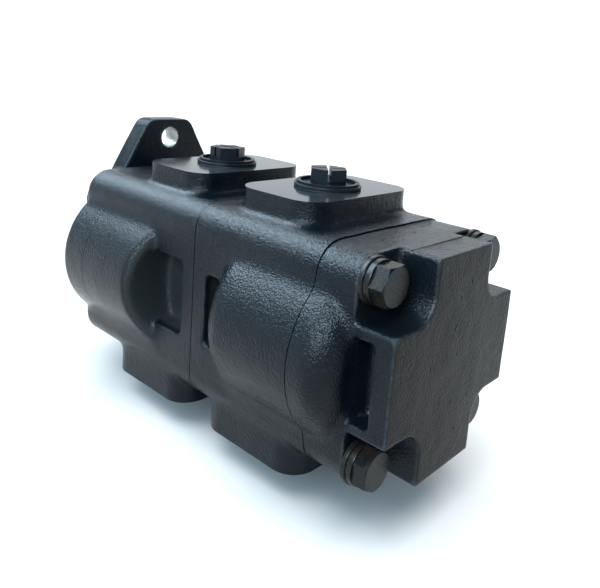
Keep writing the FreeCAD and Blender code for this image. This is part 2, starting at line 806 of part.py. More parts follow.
ports = [
    ("front", front_outlet_x, front_inlet_x, front_plug_turn),
    ("rear", rear_outlet_x, rear_inlet_x, rear_plug_turn),
]
for side, outlet_x, inlet_x, turn in ports:
    write(side + "_outlet_plug", make_plug(outlet_x, outlet_y, outlet_thread_r, turn))
    write(side + "_outlet_ring", plug_washer(outlet_x, outlet_y, outlet_thread_r))
    write(side + "_inlet_plug", flipped(make_plug(inlet_x, middle_y, inlet_thread_r, turn)))
    write(side + "_inlet_ring", flipped(plug_washer(inlet_x, middle_y, inlet_thread_r)))
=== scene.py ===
import math

import bmesh
import bpy
import numpy as np
from mathutils import Matrix, Vector, noise


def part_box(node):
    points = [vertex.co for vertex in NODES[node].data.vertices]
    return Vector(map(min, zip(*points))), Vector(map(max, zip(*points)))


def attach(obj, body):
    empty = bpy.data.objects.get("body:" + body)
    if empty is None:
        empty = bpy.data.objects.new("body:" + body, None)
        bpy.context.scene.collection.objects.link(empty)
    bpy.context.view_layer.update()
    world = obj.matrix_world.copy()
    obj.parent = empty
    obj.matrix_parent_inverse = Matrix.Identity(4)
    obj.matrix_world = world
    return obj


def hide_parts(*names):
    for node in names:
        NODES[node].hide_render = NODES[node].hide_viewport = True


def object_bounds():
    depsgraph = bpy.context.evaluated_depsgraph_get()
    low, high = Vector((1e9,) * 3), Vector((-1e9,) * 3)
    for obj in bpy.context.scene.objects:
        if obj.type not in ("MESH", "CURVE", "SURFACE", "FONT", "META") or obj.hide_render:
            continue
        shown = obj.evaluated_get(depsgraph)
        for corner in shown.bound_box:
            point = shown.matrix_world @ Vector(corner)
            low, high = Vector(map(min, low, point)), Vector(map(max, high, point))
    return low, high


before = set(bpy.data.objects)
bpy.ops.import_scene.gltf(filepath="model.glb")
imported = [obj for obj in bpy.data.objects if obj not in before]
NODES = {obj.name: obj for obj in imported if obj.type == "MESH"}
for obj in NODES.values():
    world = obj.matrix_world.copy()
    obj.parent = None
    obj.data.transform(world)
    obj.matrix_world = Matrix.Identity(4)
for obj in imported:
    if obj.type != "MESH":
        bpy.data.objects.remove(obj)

CAD_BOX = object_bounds()
MM = 0.001


# --- reading the frame, in millimetres -----------------------------------------

def box(node):
    low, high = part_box(node)
    return np.array(low) / MM, np.array(high) / MM


def coords(obj):
    co = np.zeros(len(obj.data.vertices) * 3)
    obj.data.vertices.foreach_get("co", co)
    return co.reshape(-1, 3)


def triangles(mesh):
    mesh.calc_loop_triangles()
    tri = np.zeros(len(mesh.loop_triangles) * 3, np.int64)
    mesh.loop_triangles.foreach_get("vertices", tri)
    return tri.reshape(-1, 3)


def components(count, faces):
    """A label per vertex that is the same over each connected part."""
    a = np.concatenate([faces[:, k] for k in range(faces.shape[1])])
    b = np.concatenate([faces[:, (k + 1) % faces.shape[1]] for k in range(faces.shape[1])])
    label = np.arange(count)
    while True:
        low = np.minimum(label[a], label[b])
        new = label.copy()
        np.minimum.at(new, a, low)
        np.minimum.at(new, b, low)
        new = new[new]
        if (new == label).all():
            return label
        label = new


def solids_of(node):
    """Box of every loose solid in a node, such as the four bolts of a group."""
    co = coords(NODES[node]) / MM
    keys, where = np.unique(np.round(co, 3), axis=0, return_inverse=True)
    label = components(len(keys), where.ravel()[triangles(NODES[node].data)])
    return [(keys[label == k].min(0), keys[label == k].max(0)) for k in np.unique(label)]


# --- places and sizes, in millimetres ------------------------------------------

CASTINGS = ("mounting_flange", "front_gear_housing", "rear_gear_housing", "rear_end_cover")
FASTENERS = ("through_bolts", "flat_washers", "spring_washers")
PLUGS = ("front_outlet_plug", "rear_outlet_plug", "front_inlet_plug", "rear_inlet_plug")
DOWELS = ("front_dowels", "middle_dowels", "rear_dowels")

PILOT_X = box("mounting_flange")[0][0]
FRONT_LOW, FRONT_HIGH = box("front_gear_housing")
COVER_LOW, COVER_HIGH = box("rear_end_cover")
FLANGE_X = FRONT_LOW[0]                          # joint between flange and front housing
MIDDLE_X = box("rear_gear_housing")[0][0]        # joint between the housings
COVER_X = COVER_LOW[0]                           # joint between rear housing and cover
END_X = COVER_HIGH[0]
PAD_Z = FRONT_HIGH[2]
MIDDLE_Y = 0.5 * (COVER_LOW[1] + COVER_HIGH[1])
DRIVEN_Y = 0.5 * sum(b[1] for b in box("front_driven_gear"))
SEAT_X = box("flat_washers")[0][0]               # floor of the bolt pockets
BOLTS = [(0.5 * (lo + hi)[1], 0.5 * (lo + hi)[2]) for lo, hi in solids_of("flat_washers")]

SIDE_HALF = 52.8        # middle plane to flat side
PILOT_R = 50.8
EAR_THICK = 14.5        # up to the fillet behind the ear
EAR_HOLE_Z = 73.025


# --- mesh tools, working in millimetres ----------------------------------------

def linked(name, mesh):
    obj = bpy.data.objects.new(name, mesh)
    bpy.context.scene.collection.objects.link(obj)
    return obj


def mesh_object(name, verts, faces):
    mesh = bpy.data.meshes.new(name)
    mesh.from_pydata([tuple(v) for v in verts], [], [tuple(int(i) for i in f) for f in faces])
    mesh.update()
    return linked(name, mesh)


def fast_object(name, verts, faces):
    """Same as mesh_object for large arrays of equal-sided faces."""
    mesh = bpy.data.meshes.new(name)
    sides = faces.shape[1]
    mesh.vertices.add(len(verts))
    mesh.vertices.foreach_set("co", np.asarray(verts, np.float32).ravel())
    mesh.loops.add(len(faces) * sides)
    mesh.loops.foreach_set("vertex_index", np.asarray(faces, np.int32).ravel())
    mesh.polygons.add(len(faces))
    mesh.polygons.foreach_set("loop_start", np.arange(len(faces), dtype=np.int32) * sides)
    mesh.update(calc_edges=True)
    mesh.validate()
    return linked(name, mesh)


def drop(*objs):
    for obj in objs:
        bpy.data.objects.remove(obj)


def welded(node):
    """CAD node's surface as a closed mesh in millimetres."""
    bm = bmesh.new()
    bm.from_mesh(NODES[node].data)
    bmesh.ops.scale(bm, vec=(1 / MM, 1 / MM, 1 / MM), verts=bm.verts)
    bmesh.ops.remove_doubles(bm, verts=bm.verts, dist=1e-3)
    mesh = bpy.data.meshes.new(node + "_copy")
    bm.to_mesh(mesh)
    bm.free()
    return linked(node + "_copy", mesh)


def outward(obj):
    """Turns every face of a closed mesh outwards."""
    bm = bmesh.new()
    bm.from_mesh(obj.data)
    bmesh.ops.recalc_face_normals(bm, faces=bm.faces)
    bm.to_mesh(obj.data)
    bm.free()
    return obj


def cuboid(x0, x1, y0, y1, z0, z1):
    v = [(x, y, z) for x in (x0, x1) for y in (y0, y1) for z in (z0, z1)]
    f = [(0, 1, 3, 2), (4, 6, 7, 5), (0, 4, 5, 1), (2, 3, 7, 6), (0, 2, 6, 4), (1, 5, 7, 3)]
    return mesh_object("cuboid", v, f)


def lathe(profile, axis, centre, steps=96):
    """Closed turned body: (along, radius) pairs from one end to the other."""
    verts = []
    for along, r in profile:
        for k in range(steps):
            a = 2 * math.pi * k / steps
            if axis == "x":
                verts.append((along, centre[0] + r * math.cos(a), centre[1] + r * math.sin(a)))
            else:
                verts.append((centre[0] + r * math.cos(a), centre[1] + r * math.sin(a), along))
    faces = []
    for i in range(len(profile) - 1):
        for k in range(steps):
            n = (k + 1) % steps
            faces.append((i * steps + k, i * steps + n, (i + 1) * steps + n, (i + 1) * steps + k))
    faces.append(tuple(range(steps)))
    faces.append(tuple((len(profile) - 1) * steps + k for k in range(steps)))
    return outward(mesh_object("turned", verts, faces))


def rod(x0, x1, y, z, r, steps=96):
    return lathe([(x0, r), (x1, r)], "x", (y, z), steps)


def post(z0, z1, x, y, r):
    return lathe([(z0, r), (z1, r)], "z", (x, y))


def wedge(centre, along, normal, length, width, depth):
    """Slim double-ended wedge, the shape of a scratch or dent."""
    along, normal = np.array(along, float), np.array(normal, float)
    along /= np.linalg.norm(along)
    across = np.cross(along, normal)
    c = np.array(centre, float)
    v = [c - along * length / 2, c + across * width / 2, c + along * length / 2, c - across * width / 2,
         c + normal * depth, c - normal * depth]
    f = [(0, 1, 4), (1, 2, 4), (2, 3, 4), (3, 0, 4), (1, 0, 5), (2, 1, 5), (3, 2, 5), (0, 3, 5)]
    return outward(mesh_object("wedge", v, f))


def modified(obj, kind, **settings):
    """Puts one modifier's result in place of the object's mesh."""
    mod = obj.modifiers.new(kind.lower(), kind)
    for name, value in settings.items():
        setattr(mod, name, value)
    bpy.context.view_layer.update()
    mesh = bpy.data.meshes.new_from_object(obj.evaluated_get(bpy.context.evaluated_depsgraph_get()))
    obj.modifiers.clear()
    obj.data = mesh
    return obj


def boolean(obj, other, operation):
    modified(obj, "BOOLEAN", operation=operation, solver="MANIFOLD", object=other)
    drop(other)
    return obj


def joined(objs):
    """One object that holds the meshes of several, with nothing merged."""
    bm = bmesh.new()
    for obj in objs:
        bm.from_mesh(obj.data)
    mesh = bpy.data.meshes.new("stack")
    bm.to_mesh(mesh)
    bm.free()
    drop(*objs)
    return linked("stack", mesh)


# --- the castings' outer skin --------------------------------------------------

VOXEL = 1.0
ON_FACE = 0.01          # how near a vertex is to the face that it lies on
JOINT_SPARE = 0.3       # how far each kind of machined face is pushed out
FLANGE_SPARE = 2.0
PAD_SPARE = 4.0
PILOT_ROOT_R = 45.0     # the mounting face lies outside this
CAST_WAVES = ((28.0, 0.25, 3.1), (9.0, 0.1, 7.7), (3.5, 0.025, 11.3))     # length, height, seed


def stretched(node):
    """CAD casting with its machined faces pushed out, so that they can be cut back clean."""
    obj = welded(node)
    co = coords(obj)
    x, y, z = co.T
    low, high = co.min(0), co.max(0)
    if node != "mounting_flange":
        co[np.abs(x - low[0]) < ON_FACE, 0] -= JOINT_SPARE
    if node != "rear_end_cover":
        co[np.abs(x - high[0]) < ON_FACE, 0] += JOINT_SPARE
    if "housing" in node:
        on_pad = np.abs(np.abs(z) - PAD_Z) < ON_FACE
        co[on_pad, 2] += PAD_SPARE * np.sign(z[on_pad])
    if node == "mounting_flange":
        face = (np.abs(x) < ON_FACE) & (np.hypot(y, z) > PILOT_ROOT_R)
        co[face, 0] -= FLANGE_SPARE
    obj.data.vertices.foreach_set("co", co.ravel())
    obj.data.update()
    return obj


def stoppers():
    """Short plugs in every hole that would let the remesher see inside."""
    shaft_r, bolt_r, ear_r = 24.0, 7.5, 9.0
    found = [rod(-8.0, 20.0, 0.0, 0.0, shaft_r)]
    for y, z in BOLTS:
        found.append(rod(SEAT_X - 6.0, SEAT_X, y, z, bolt_r))
    for sign in (-1, 1):
        found.append(rod(0.5, 14.8, 0.0, sign * EAR_HOLE_Z, ear_r))
    for node in PLUGS:
        low, high = box(node)
        x, y = 0.5 * (low + high)[:2]
        side = 1 if high[2] > 0 else -1
        z0, z1 = sorted((side * (PAD_Z - 8.0), side * (PAD_Z + PAD_SPARE)))
        found.append(post(z0, z1, x, y, 0.5 * (high - low)[0]))
    return found


def largest_part(obj):
    """Keeps the connected part with the largest box: the outside, without the hollows."""
    co = coords(obj)
    quad = np.zeros(len(obj.data.loops), np.int64)
    obj.data.loops.foreach_get("vertex_index", quad)
    quad = quad.reshape(-1, 4)
    label = components(len(co), quad)
    best = max(np.unique(label[quad[:, 0]]), key=lambda k: np.ptp(co[label == k], axis=0).sum())
    keep = label == best
    number = np.cumsum(keep) - 1
    return co[keep], number[quad[keep[quad[:, 0]]]]


def vertex_normals(co, faces, across):
    """Unit normals of the vertices, from the faces' area vectors."""
    total = np.zeros_like(co)
    for k in range(faces.shape[1]):
        for axis in range(3):
            total[:, axis] += np.bincount(faces[:, k], across[:, axis], len(co))
    return total / np.maximum(np.linalg.norm(total, axis=1), 1e-12)[:, None]


def quad_normals(co, quad):
    a, b, c, d = (co[quad[:, k]] for k in range(4))
    return vertex_normals(co, quad, np.cross(c - a, d - b))


def tri_normals(co, tri):
    a, b, c = (co[tri[:, k]] for k in range(3))
    return vertex_normals(co, tri, np.cross(b - a, c - a))


def edges_of(faces):
    sides = faces.shape[1]
    pairs = np.concatenate([faces[:, [k, (k + 1) % sides]] for k in range(sides)])
    return np.unique(np.sort(pairs, axis=1), axis=0).T


def ramp(value, a, b):
    """0 up to a, 1 from b, with soft ends."""
    t = np.clip((value - a) / (b - a), 0.0, 1.0)
    return t * t * (3.0 - 2.0 * t)


def bulge_roots(co):
    """1 along the lines where the round gear bulges meet the flat sides, fading to 0 around them."""
    x, y, z = co.T
    beside = ramp(np.abs(y - MIDDLE_Y), 34.0, 44.0)
    level = ramp(np.abs(z), 24.0, 32.0) * (1 - ramp(np.abs(z), 42.0, 50.0))
    before_pockets = 1 - ramp(x, SEAT_X - 16.0, SEAT_X - 8.0)
    return beside * level * before_pockets


def flow(co, quad, rounds, concave, convex, where=1.0):
    """Moves the surface towards its neighbours' mean, more where it is hollow than where it is proud."""
    slide = 0.1
    a, b = edges_of(quad)
    count = np.bincount(a, minlength=len(co)) + np.bincount(b, minlength=len(co))
    for i in range(rounds):
        if i % 4 == 0:
            n = quad_normals(co, quad)
        mean = np.zeros_like(co)
        for axis in range(3):
            mean[:, axis] = np.bincount(a, co[b, axis], len(co)) + np.bincount(b, co[a, axis], len(co))
        step = mean / count[:, None] - co
        out = (step * n).sum(1)
        gain = np.where(out > 0, concave, convex) * where
        co = co + n * (out * gain)[:, None] + slide * (step - n * out[:, None])
    return co


def undulate(co, n, waves):
    """Slow unevenness of a sand casting: a sum of noise waves along the normal."""
    shift = np.zeros(len(co))
    for length, height, seed in waves:
        shift += height * np.array([noise.noise(Vector(p)) for p in co / length + seed])
    return co + n * shift[:, None]


def skin():
    """The outside of all four castings as one grown-together surface, with cast fillets."""
    stack = joined([stretched(n) for n in CASTINGS] + stoppers())
    modified(stack, "REMESH", mode="VOXEL", voxel_size=VOXEL, adaptivity=0.0)
    co, quad = largest_part(stack)
    drop(stack)
    co = flow(co, quad, 40, 0.5, 0.04)
    co = flow(co, quad, 60, 0.5, 0.0, bulge_roots(co))
    return undulate(co, quad_normals(co, quad), CAST_WAVES), quad


# --- hollows inside the castings -----------------------------------------------

REACH = 1.0             # how far a region passes the end of its hollow
BOLT_END_X = 34.0       # short of the bottom of the tapped holes
BOLT_ROOM_R = 6.7
DOWEL_ROOM_R = 4.3
GEAR_ROOM_R = 38.0
BUSH_ROOM_R = 15.0
THROAT_R = 17.0         # web between a gear chamber and the coupling
COUPLING_R = 25.0
COUPLING_HALF = 4.0
RING_LEDGE = 2.2        # sealing ring's outside to the port's thread


def gear_room(x0, x1):
    """Both gear bores as one body with flat sides."""
    room = rod(x0, x1, 0.0, 0.0, GEAR_ROOM_R)
    boolean(room, rod(x0, x1, DRIVEN_Y, 0.0, GEAR_ROOM_R), "UNION")
    return boolean(room, cuboid(x0, x1, DRIVEN_Y, 0.0, -GEAR_ROOM_R, GEAR_ROOM_R), "UNION")


def port_rooms(side):
    found = []
    for which, sign in (("outlet", 1), ("inlet", -1)):
        low, high = box(f"{side}_{which}_ring")
        x, y = 0.5 * (low + high)[:2]
        z0, z1 = sorted((sign * 20.0, sign * (PAD_Z + 3.0)))
        found.append(post(z0, z1, x, y, 0.5 * (high - low)[0] - RING_LEDGE))
    return found


def flange_rooms():
    shaft_room_r, ear_hole_room_r = 23.0, 7.6
    found = [rod(-12.0, FLANGE_X + REACH, 0.0, 0.0, shaft_room_r),
             rod(30.0, FLANGE_X + REACH, DRIVEN_Y, 0.0, BUSH_ROOM_R)]
    return found + [rod(-1.0, 16.5, 0.0, sign * EAR_HOLE_Z, ear_hole_room_r) for sign in (-1, 1)]


def front_rooms():
    floor_x = 103.0
    return [gear_room(FLANGE_X - REACH, floor_x + REACH),
            rod(floor_x, MIDDLE_X - COUPLING_HALF + REACH, 0.0, 0.0, THROAT_R),
            rod(MIDDLE_X - COUPLING_HALF, MIDDLE_X + REACH, 0.0, 0.0, COUPLING_R)] + port_rooms("front")


def rear_rooms():
    floor_x = 181.0
    return [rod(MIDDLE_X - REACH, MIDDLE_X + COUPLING_HALF, 0.0, 0.0, COUPLING_R),
            rod(MIDDLE_X + COUPLING_HALF - REACH, floor_x, 0.0, 0.0, THROAT_R),
            gear_room(floor_x - REACH, COVER_X + REACH)] + port_rooms("rear")


def cover_rooms():
    recess, bush_depth = 4.0, 24.0
    return [gear_room(COVER_X - REACH, COVER_X + recess)] + [
        rod(COVER_X + recess - REACH, COVER_X + bush_depth, y, 0.0, BUSH_ROOM_R) for y in (0.0, DRIVEN_Y)]


ROOMS = dict(zip(CASTINGS, (flange_rooms, front_rooms, rear_rooms, cover_rooms)))


def hollows(node):
    """The empty space inside a casting: bodies that miss its outer skin, less the CAD's metal."""
    found = [rod(BOLT_END_X, SEAT_X + REACH, y, z, BOLT_ROOM_R, 48) for y, z in BOLTS]
    for dowels in DOWELS:
        for low, high in solids_of(dowels):
            y, z = 0.5 * (low + high)[1:]
            found.append(rod(low[0] - REACH, high[0] + REACH, y, z, DOWEL_ROOM_R, 48))
    space, *others = found + ROOMS[node]()
    for other in others:
        boolean(space, other, "UNION")
    return boolean(space, welded(node), "DIFFERENCE")


# --- castings ------------------------------------------------------------------

GAPS = {"flange": 0.16, "middle": 0.28, "cover": 0.26}      # cut off each side of a joint
COVER_STEP = 0.8                                            # cover's top below the housings'
COVER_TOP = COVER_HIGH[2] - COVER_STEP
OPEN = 95.0                                                 # beyond the ears and pads


def pilot():
    """Locating spigot with broken edges and a relief groove at its root."""
    edge, groove = 1.5, 0.8
    profile = [(PILOT_X, PILOT_R - edge), (PILOT_X + 0.1, PILOT_R - edge + 0.1), (PILOT_X + edge, PILOT_R),
               (-groove, PILOT_R), (0.0, PILOT_R - groove), (0.5, PILOT_R - groove)]
    return lathe(profile, "x", (0.0, 0.0), 180)


def parting_line():
    x, width, height = 265.2, 0.4, 0.18
    return cuboid(x, x + width, MIDDLE_Y - 24.0, MIDDLE_Y + 22.0, COVER_TOP - 3.0, COVER_TOP + height)


def marks():
    """Handling marks on the rear cover: one long scratch and a scatter of small nicks."""
    dice = np.random.default_rng(7)
    found = [wedge((END_X, -26.0, 18.0), (0.0, 0.5, 0.87), (1.0, 0.0, 0.0), 13.0, 1.5, 1.4)]
    for _ in range(12):
        turn, length = dice.uniform(0.9, 1.6), dice.uniform(1.6, 4.0)
        at = (END_X, dice.uniform(-50.0, 5.0), dice.uniform(-40.0, 40.0))
        found.append(wedge(at, (0.0, math.cos(turn), math.sin(turn)), (1.0, 0.0, 0.0), length, 1.0, 1.1))
    for _ in range(7):
        turn, length = dice.uniform(-0.4, 0.4), dice.uniform(2.0, 5.0)
        at = (dice.uniform(241.0, 258.0), dice.uniform(-50.0, 5.0), COVER_TOP)
        found.append(wedge(at, (math.sin(turn), math.cos(turn), 0.0), (0.0, 0.0, 1.0), length, 1.2, 0.9))
    return found


def casting(node, skin_co, skin_quad, low_x, high_x, reach_z):
    """The stretch of the skin between two joints, cut flat at its pads and hollowed."""
    if node == "rear_end_cover":
        z = skin_co[:, 2]
        skin_co = skin_co.copy()
        skin_co[:, 2] -= COVER_STEP * np.sign(z) * ramp(np.abs(z), 30.0, 50.0)
    piece = fast_object("cast_" + node, skin_co, skin_quad)
    boolean(piece, cuboid(low_x, high_x, -120.0, 80.0, -reach_z, reach_z), "INTERSECT")
    if node == "mounting_flange":
        boolean(piece, pilot(), "UNION")
    boolean(piece, hollows(node), "DIFFERENCE")
    if node == "rear_end_cover":
        boolean(piece, parting_line(), "UNION")
        for mark in marks():
            boolean(piece, mark, "DIFFERENCE")
    return piece


def casting_look(node, c, normal):
    """A casting face's material, from its place in millimetres and its direction."""
    flat, pilot_edge, end_depth = 0.05, 0.7, 2.0
    if node == "mounting_flange":
        if math.hypot(c.y, abs(c.z) - EAR_HOLE_Z) < 7.4 and c.x > 0.0:
            return IRON
        if abs(c.x) < flat or c.x < 0.0 and math.hypot(c.y, c.z) < PILOT_R + pilot_edge:
            return FLAT
        if c.x < EAR_THICK and abs(c.z) > 52.0 and abs(normal.x) < 0.8:
            return RIM
    elif node == "rear_end_cover":
        # painted reflection: the end face takes a brown-black, less glossy copy of the paint
        if c.x > END_X - end_depth and normal.x > 0.9:
            return END
    elif abs(abs(c.z) - PAD_Z) < flat and abs(normal.z) > 0.99:
        return FLAT
    return CAST


# --- finishing a piece ---------------------------------------------------------

JOINT_BAND = 2.5        # no wear, dirt or painted edge highlight this near a joint, where the cut edges would show it


def shade(obj, degrees):
    """Smooth shading over every edge that turns by less than the angle."""
    mesh = obj.data
    mesh.polygons.foreach_set("use_smooth", np.ones(len(mesh.polygons), bool))
    bm = bmesh.new()
    bm.from_mesh(mesh)
    limit = math.radians(degrees)
    for edge in bm.edges:
        edge.smooth = len(edge.link_faces) == 2 and edge.calc_face_angle(0.0) < limit
    bm.to_mesh(mesh)
    bm.free()


def bend(co, tri, n):
    """How hollow the surface is at each vertex, in 1/m, negative where it is proud."""
    a, b = edges_of(tri)
    count = np.maximum(np.bincount(a, minlength=len(co)) + np.bincount(b, minlength=len(co)), 1)
    run = co[b] - co[a]
    value = -((n[b] - n[a]) * run).sum(1) / np.maximum((run ** 2).sum(1), 1e-12)
    value = (np.bincount(a, value, len(co)) + np.bincount(b, value, len(co))) / count
    for _ in range(3):
        around = np.bincount(a, value[b], len(co)) + np.bincount(b, value[a], len(co))
        value = 0.4 * value + 0.6 * around / count
    return value


def painted_recess_light(co, n):
    """1 inside the side windows and on the wall at the end of each front bulge, 0 elsewhere: where the paint
    is made lighter as painted light, standing for light reflected into these recesses.
    """
    x, y, z = (co / MM).T
    off_middle = np.abs(y - MIDDLE_Y)
    inside = ramp(SIDE_HALF - off_middle, 2.0, 7.0)
    inside *= (np.abs(z) < 32.0) & (x > FLANGE_X + 3.0) & (x < COVER_X - 3.0)
    wall = ramp(n[:, 0], 0.2, 0.7) * (1 - ramp(np.abs(z), 26.0, 42.0)) * ramp(off_middle, 40.0, 46.0)
    return np.maximum(inside, wall * (x > FLANGE_X + 20.0) * (x < MIDDLE_X - 15.0))


def store_surface(obj):
    """Stores on each vertex, from 0 to 1, what the paint materials read."""
    co = coords(obj)
    tri = triangles(obj.data)
    n = tri_normals(co, tri)
    hollow = bend(co, tri, n) * MM
    joint = np.min([np.abs(co[:, 0] / MM - x) for x in (FLANGE_X, MIDDLE_X, COVER_X)], axis=0)
    found = {"painted_recess_light": painted_recess_light(co, n)}
    for name, scale in (("hollow", 5.0), ("proud", -3.0)):
        found[name] = np.clip(hollow * scale, 0.0, 1.0) * (joint > JOINT_BAND)
    for name, value in found.items():
        attribute = obj.data.attributes.new(name, "FLOAT", "POINT")
        attribute.data.foreach_set("value", value.astype(np.float32))


def finish_mesh(obj, sharp):
    """Back to metres, smooth shading up to the sharp angle, riding on the pump's body."""
    obj.data.transform(Matrix.Scale(MM, 4))
    shade(obj, sharp)
    store_surface(obj)
    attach(obj, "pump_body")


def turned(obj, angle):
    """Turns every ring of a group about its own bolt, so that the splits sit out of sight."""
    co = coords(obj)
    for y, z in BOLTS:
        near = np.hypot(co[:, 1] - y, co[:, 2] - z) < 14.0
        dy, dz = co[near, 1] - y, co[near, 2] - z
        co[near, 1] = y + dy * math.cos(angle) - dz * math.sin(angle)
        co[near, 2] = z + dy * math.sin(angle) + dz * math.cos(angle)
    obj.data.vertices.foreach_set("co", co.ravel())


def softened(node, width, material):
    """A CAD piece with its hard edges broken, in place of the plain one."""
    piece = welded(node)
    if node == "spring_washers":
        turned(piece, math.radians(150.0))
    modified(piece, "BEVEL", width=width, segments=2, limit_method="ANGLE", angle_limit=math.radians(35.0))
    piece.name = "soft_" + node
    finish_mesh(piece, 12.0)
    piece.data.materials.clear()
    piece.data.materials.append(material)
    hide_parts(node)


# --- materials -----------------------------------------------------------------

class Tree:
    """Adds shader nodes to a tree and links them."""

    def __init__(self, tree):
        self.tree = tree

    def link(self, value, socket):
        if isinstance(value, bpy.types.NodeSocket):
            self.tree.links.new(value, socket)
        else:
            socket.default_value = value

    def math(self, op, a, b):
        n = self.tree.nodes.new("ShaderNodeMath")
        n.operation = op
        self.link(a, n.inputs[0])
        self.link(b, n.inputs[1])
        return n.outputs[0]

    def span(self, value, a, b, c=0.0, d=1.0):
        """Maps a..b onto c..d, clamped, with soft ends."""
        n = self.tree.nodes.new("ShaderNodeMapRange")
        n.interpolation_type = "SMOOTHSTEP"
        self.link(value, n.inputs["Value"])
        for socket, v in zip(("From Min", "From Max", "To Min", "To Max"), (a, b, c, d)):
            n.inputs[socket].default_value = v
        return n.outputs["Result"]

    def mix(self, factor, a, b):
        n = self.tree.nodes.new("ShaderNodeMix")
        n.data_type = "RGBA"
        self.link(factor, n.inputs["Factor"])
        self.link(a, n.inputs[6])
        self.link(b, n.inputs[7])
        return n.outputs[2]


class Surface(Tree):
    """A material with one Principled shader, textured in object space."""

    def __init__(self, name):
        self.material = bpy.data.materials.new(name)
        self.material.use_nodes = True
        super().__init__(self.material.node_tree)
        self.tree.nodes.clear()
        out = self.tree.nodes.new("ShaderNodeOutputMaterial")
        self.shader = self.tree.nodes.new("ShaderNodeBsdfPrincipled")
        self.tree.links.new(self.shader.outputs[0], out.inputs[0])
        self.place = self.tree.nodes.new("ShaderNodeTexCoord").outputs["Object"]

    def noise(self, scale, detail=2.0, rough=0.5, place=None):
        n = self.tree.nodes.new("ShaderNodeTexNoise")
        self.link(place or self.place, n.inputs["Vector"])
        n.inputs["Scale"].default_value = scale
        n.inputs["Detail"].default_value = detail
        n.inputs["Roughness"].default_value = rough
        return n.outputs["Fac"]

    def stored(self, name):
        n = self.tree.nodes.new("ShaderNodeAttribute")
        n.attribute_name = name
        return n.outputs["Fac"]

    def stretch(self, x, y, z):
        n = self.tree.nodes.new("ShaderNodeMapping")
        self.link(self.place, n.inputs["Vector"])
        n.inputs["Scale"].default_value = (x, y, z)
        return n.outputs[0]

    def bump(self, height, distance):
        n = self.tree.nodes.new("ShaderNodeBump")
        self.link(height, n.inputs["Height"])
        n.inputs["Distance"].default_value = distance
        n.inputs["Strength"].default_value = 1.0
        return n.outputs[0]

    def set(self, **values):
        names = {"color": "Base Color", "rough": "Roughness", "metal": "Metallic", "normal": "Normal",
                 "specular": "Specular IOR Level"}
        for key, value in values.items():
            self.link(value, self.shader.inputs[names[key]])
        return self.material


def rgb(r, g, b):
    return (r, g, b, 1.0)


def painted_casting(name, grain, rough, specular, dark, light):
    """Black gloss paint over a sand-cast skin, thin and brown in its hollows, with wear and a painted
    highlight on its edges, and lighter in its side windows as painted light.
    """
    m = Surface(name)
    coarse = m.noise(600.0)
    fine = m.noise(1150.0, 2.0, 0.55)
    patch = m.noise(24.0, 3.0)
    height = m.math("ADD", m.math("MULTIPLY", coarse, 0.4), m.math("MULTIPLY", fine, 0.6))
    base = m.mix(m.span(patch, 0.35, 0.7), rgb(*dark), rgb(*light))
    # painted light: a lighter base in the side windows and on the bulge end walls stands for light reflected
    # into them
    base = m.mix(m.stored("painted_recess_light"), base, rgb(0.0095, 0.0115, 0.0125))
    speckle = m.noise(240.0, 3.0, 0.7)
    thin = m.math("MULTIPLY", m.span(m.stored("hollow"), 0.45, 1.0), m.span(speckle, 0.45, 0.65))
    base = m.mix(thin, base, rgb(0.022, 0.012, 0.006))
    # edge wear and painted highlight: convex edges get a lighter blue-grey, partly wear of the paint and
    # partly standing for the light these edges catch
    wear_and_painted_highlight = m.math("MULTIPLY", m.span(m.stored("proud"), 0.3, 0.9), m.span(speckle, 0.3, 0.6, 0.25, 1.0))
    base = m.mix(wear_and_painted_highlight, base, rgb(0.015, 0.019, 0.022))
    flecks = m.span(m.noise(330.0, 2.0, 0.6), 0.62, 0.7)
    base = m.mix(m.math("MULTIPLY", m.span(m.stored("proud"), 0.5, 1.0), flecks), base, rgb(0.07, 0.04, 0.02))
    dull = m.span(patch, 0.3, 0.75, rough - 0.04, rough + 0.05)
    return m.set(color=base, rough=dull, normal=m.bump(height, grain), specular=specular)


def flat_paint(name):
    """Black paint over a machined face: smooth, with a faint orange peel."""
    m = Surface(name)
    peel = m.noise(260.0)
    patch = m.noise(30.0)
    base = m.mix(m.span(patch, 0.3, 0.7), rgb(0.005, 0.008, 0.01), rgb(0.01, 0.012, 0.013))
    dull = m.span(patch, 0.3, 0.7, 0.1, 0.16)
    return m.set(color=base, rough=dull, normal=m.bump(peel, 0.00001), specular=0.5)


def iron(name):
    """Bare machined grey iron."""
    m = Surface(name)
    lines = m.noise(900.0, place=m.stretch(6.0, 1.0, 1.0))
    patch = m.noise(90.0, 3.0, 0.6)
    base = m.mix(m.span(patch, 0.3, 0.7), rgb(0.22, 0.21, 0.2), rgb(0.36, 0.35, 0.34))
    dull = m.span(lines, 0.3, 0.7, 0.35, 0.55)
    return m.set(color=base, rough=dull, metal=0.85, normal=m.bump(lines, 0.00002))


def black_oxide(name):
    """Blackened steel of bolts and washers."""
    m = Surface(name)
    patch = m.noise(160.0, 3.0, 0.6)
    speck = m.noise(900.0, 2.0, 0.6)
    base = m.mix(m.span(patch, 0.35, 0.7), rgb(0.002, 0.003, 0.004), rgb(0.008, 0.006, 0.004))
    dull = m.span(speck, 0.3, 0.7, 0.22, 0.34)
    return m.set(color=base, rough=dull, normal=m.bump(speck, 0.00002), specular=0.15)


def plastic(name):
    """Moulded black plastic."""
    m = Surface(name)
    grain = m.noise(1300.0)
    patch = m.noise(60.0)
    base = m.mix(m.span(patch, 0.3, 0.7), rgb(0.002, 0.003, 0.005), rgb(0.004, 0.006, 0.008))
    dull = m.span(patch, 0.3, 0.7, 0.3, 0.42)
    return m.set(color=base, rough=dull, normal=m.bump(grain, 0.000015), specular=0.1)


